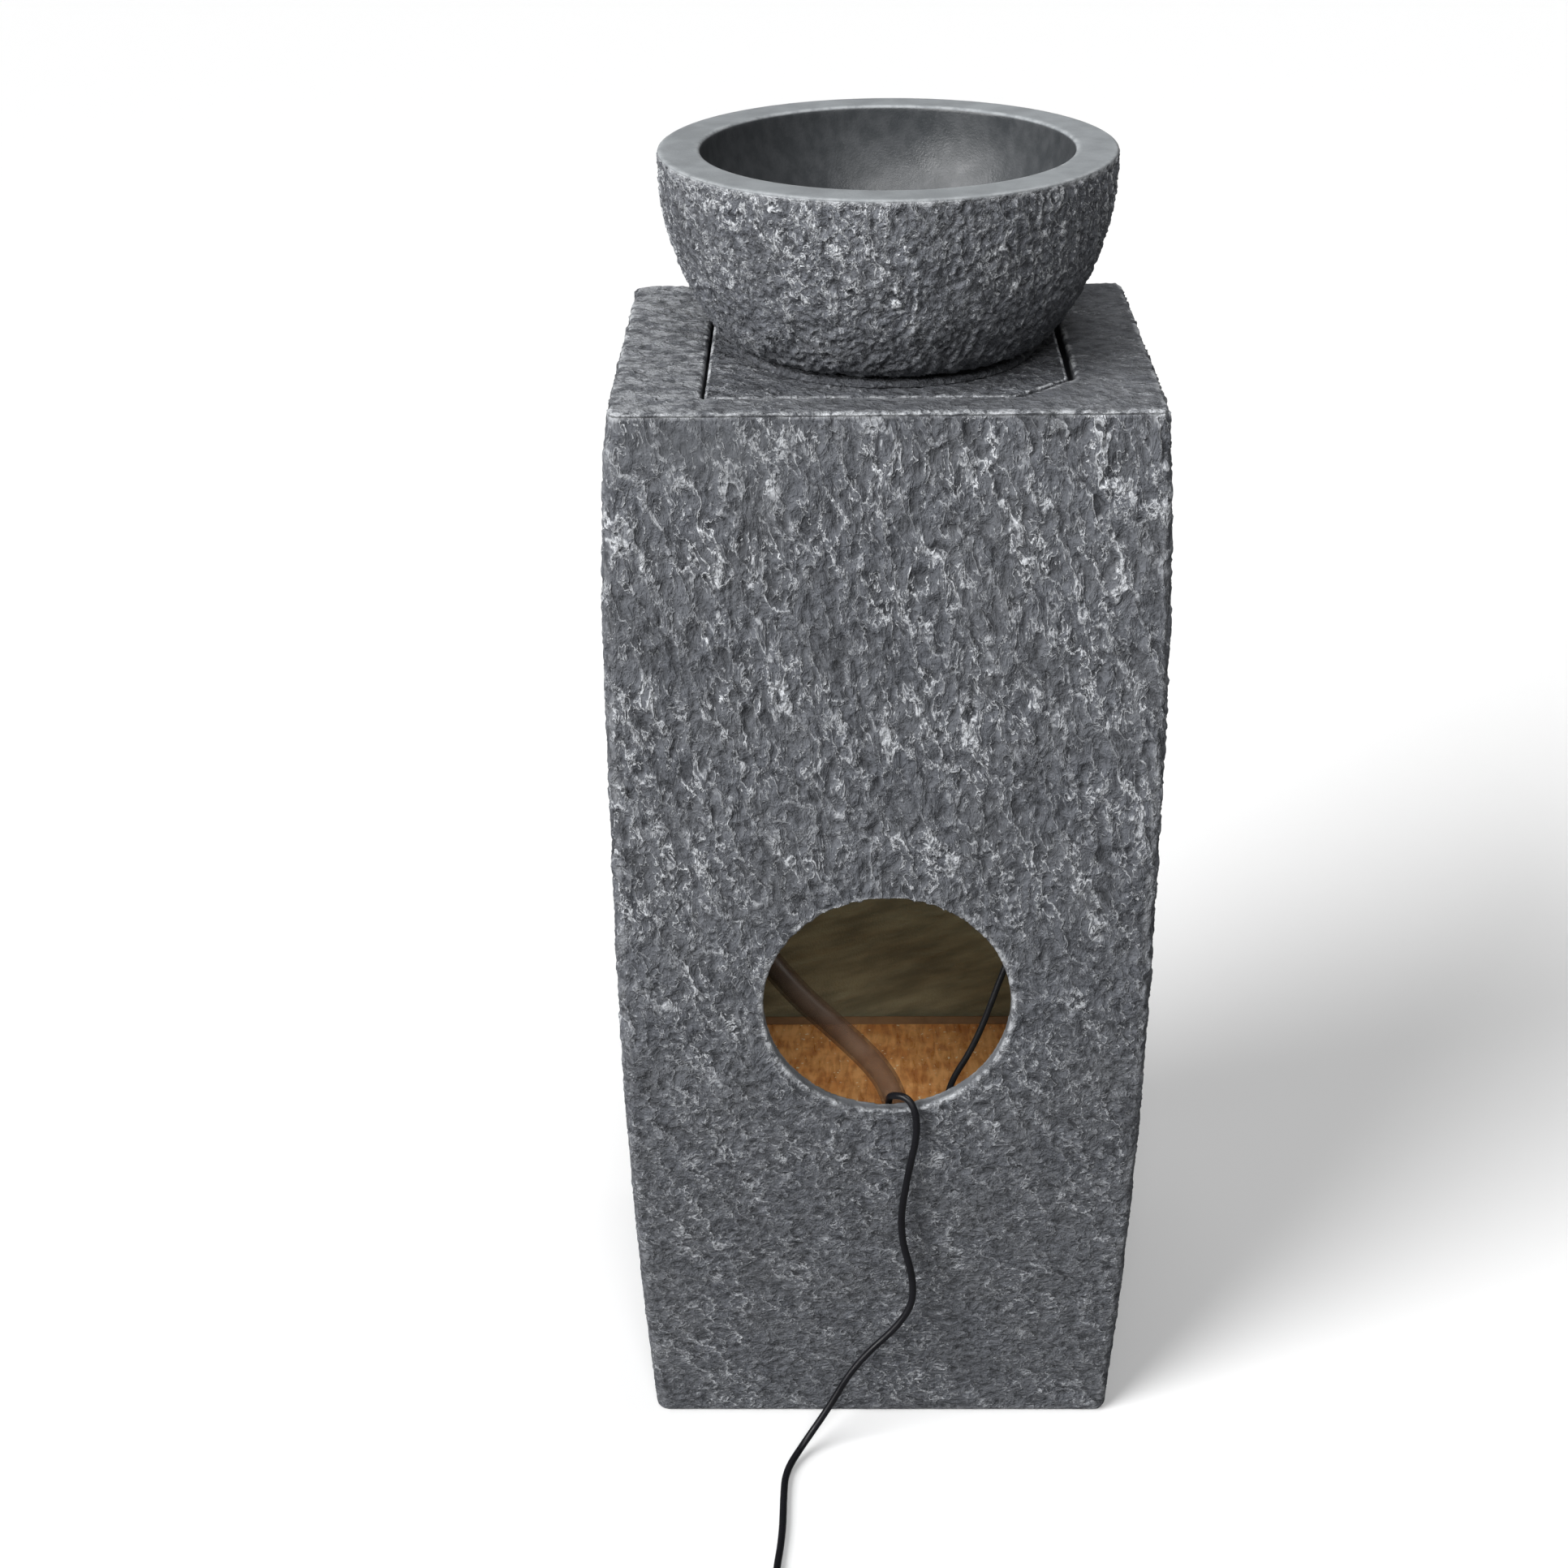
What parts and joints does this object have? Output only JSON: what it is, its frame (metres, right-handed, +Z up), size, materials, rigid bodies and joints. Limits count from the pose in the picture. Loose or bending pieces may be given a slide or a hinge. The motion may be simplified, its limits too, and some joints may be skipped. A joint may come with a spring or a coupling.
{
  "type": "garden fountain",
  "caption": "Tall stone-look pillar fountain with a round bowl on a lift-off lid plate, a round access hole at the back, and a pump, hose, lamp ring and mains cord.",
  "frame": {"origin": "middle of the pillar's foot, on the ground", "axes": "+Z up, the access hole faces -Y, +X to the right of someone who looks at the access hole"},
  "size_m": [0.316, 0.578, 0.79],
  "materials": {
    "faux_stone": "rough dark stone look with worn pale ridges",
    "bowl_stone": "rough dark stone look outside, smooth rim and inside",
    "bare_fibre": "bare fibre-resin laminate",
    "sealant": "satin sealing bead",
    "fitting_plastic": "satin moulded fittings",
    "gasket_rubber": "soft matt gasket",
    "lamp_case": "satin lamp ring case",
    "lamp_board": "lacquered circuit board",
    "lamp_chip": "clear lamp domes, unlit",
    "lamp_lens": "clear lens ring",
    "pump_case": "moulded pump case",
    "pump_inner": "pale moulded plastic",
    "pump_magnet": "coated ferrite",
    "pump_shaft": "ground steel",
    "pump_bush": "fired ceramic",
    "filter_foam": "open-cell foam",
    "dial_plastic": "grey moulded dial",
    "foot_rubber": "soft suction feet",
    "hose_vinyl": "brown see-through vinyl",
    "lead_black": "black sheathed lead",
    "cord_black": "black sheathed cord",
    "tie_black": "thin tie",
    "plug_black": "moulded plug",
    "pin_metal": "plated pins"
  },
  "bodies": {
    "pillar": {"pillar_shell": "faux_stone", "reservoir_floor": "bare_fibre", "reservoir_seal": "sealant", "pump_body": "pump_case", "pump_strainer": "pump_case", "pump_chamber_cover": "pump_inner", "pump_shaft": "pump_shaft", "pump_bushes": "pump_bush", "pump_foam": "filter_foam", "pump_feet": "foot_rubber", "riser_hose": "hose_vinyl", "lamp_lead": "lead_black", "lamp_gland": "lead_black", "power_cord": "cord_black", "cord_coil": "cord_black", "power_gland": "cord_black", "cord_tie": "tie_black", "plug_body": "plug_black", "plug_pins": "pin_metal"},
    "lid": {"lid_plate": "faux_stone", "bowl_foot": "bowl_stone", "bowl": "bowl_stone", "bulkhead_stem": "fitting_plastic", "bulkhead_gasket": "gasket_rubber", "bulkhead_nut": "fitting_plastic", "bubbler_nozzle": "fitting_plastic", "overflow_pipe": "fitting_plastic", "overflow_gasket": "gasket_rubber", "overflow_nut": "fitting_plastic", "overflow_cap": "fitting_plastic", "lamp_housing": "lamp_case", "lamp_board": "lamp_board", "lamp_chips": "lamp_chip", "lamp_lens": "lamp_lens", "lamp_grommet": "gasket_rubber"},
    "impeller": {"pump_impeller": "pump_inner", "pump_magnet": "pump_magnet"},
    "flow_dial": {"flow_dial": "dial_plastic"}
  },
  "joints": [
    {"name": "lid_lift", "type": "slide", "parent": "pillar", "child": "lid", "axis": [0, 0, 1], "range_m": [0, 0.07], "deforming": ["riser_hose", "lamp_lead"]},
    {"name": "impeller_spin", "type": "hinge", "parent": "pillar", "child": "impeller", "pos_m": [0.013, -0.08736, 0.174], "axis": [1, 0, 0], "continuous": true},
    {"name": "dial_turn", "type": "hinge", "parent": "pillar", "child": "flow_dial", "pos_m": [-0.0203, -0.08736, 0.174], "axis": [-1, 0, 0], "range_deg": [0, 90]}
  ]
}
